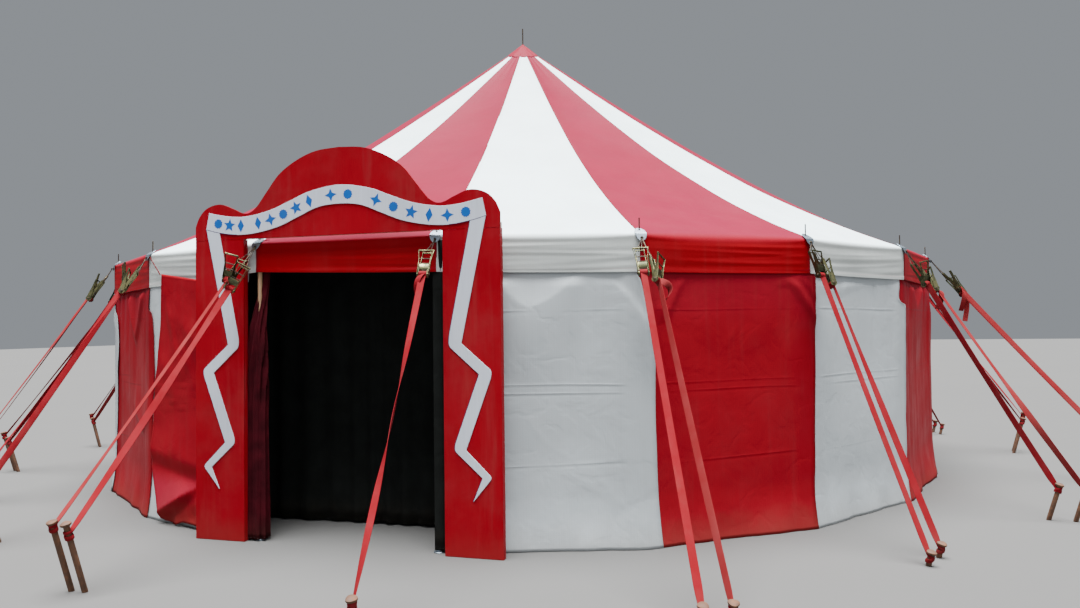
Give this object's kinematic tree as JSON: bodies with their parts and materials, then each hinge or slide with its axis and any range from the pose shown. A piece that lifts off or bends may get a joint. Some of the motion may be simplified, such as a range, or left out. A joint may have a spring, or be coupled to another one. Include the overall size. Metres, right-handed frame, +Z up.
{
  "type": "circus big top tent",
  "caption": "Small round big top: striped canopy and walls round a king pole, side poles, ratchet guys on stakes, cut-out entrance front.",
  "frame": {"origin": "on the ground under the centre of the king pole's foot plate", "axes": "+Z up; the entrance faces -Y; +X is to the right of someone facing the entrance"},
  "size_m": [12.3473, 12.3447, 5.464],
  "materials": {
    "red_pvc": "glossy coated cloth",
    "white_pvc": "semi-gloss coated cloth",
    "galvanised_steel": "dull zinc",
    "passivated_steel": "yellow passivated zinc",
    "red_webbing": "faded polyester webbing",
    "rusty_steel": "rusted",
    "pole_timber": "oiled",
    "red_paint": "brushed satin paint on plywood",
    "pale_paint": "satin paint",
    "blue_paint": "satin paint",
    "black_cloth": "matt blackout cloth",
    "velvet": "velvet"
  },
  "bodies": {
    "root": {"roof_front": "red_pvc", "roof_right": "red_pvc", "roof_back": "red_pvc", "roof_left": "red_pvc", "wall_front_right": "white_pvc", "wall_front_left": "white_pvc", "wall_right": "white_pvc", "wall_back": "white_pvc", "wall_left": "white_pvc", "king_pole": "galvanised_steel", "crown_cap": "red_pvc", "side_pole_01": "pole_timber", "guy_set_01": "passivated_steel", "side_pole_02": "pole_timber", "guy_set_02": "passivated_steel", "side_pole_03": "pole_timber", "guy_set_03": "passivated_steel", "side_pole_04": "pole_timber", "guy_set_04": "passivated_steel", "side_pole_05": "pole_timber", "guy_set_05": "passivated_steel", "side_pole_06": "pole_timber", "guy_set_06": "passivated_steel", "side_pole_07": "pole_timber", "guy_set_07": "passivated_steel", "side_pole_08": "pole_timber", "guy_set_08": "passivated_steel", "side_pole_09": "pole_timber", "guy_set_09": "passivated_steel", "side_pole_10": "pole_timber", "guy_set_10": "passivated_steel", "side_pole_11": "pole_timber", "guy_set_11": "passivated_steel", "side_pole_12": "pole_timber", "guy_set_12": "passivated_steel", "side_pole_13": "pole_timber", "guy_set_13": "passivated_steel", "side_pole_14": "pole_timber", "guy_set_14": "passivated_steel", "side_pole_15": "pole_timber", "guy_set_15": "passivated_steel", "side_pole_16": "pole_timber", "guy_set_16": "passivated_steel", "side_pole_17": "pole_timber", "guy_set_17": "passivated_steel", "side_pole_18": "pole_timber", "guy_set_18": "passivated_steel", "side_pole_19": "pole_timber", "guy_set_19": "passivated_steel", "side_pole_20": "pole_timber", "guy_set_20": "passivated_steel", "front_leg_right": "red_paint", "front_leg_left": "red_paint", "front_arch": "red_paint", "front_ribbon": "pale_paint", "entrance_drape": "black_cloth", "velvet_curtain": "velvet", "pulled_aside_sheet": "red_pvc"}
  },
  "joints": []
}
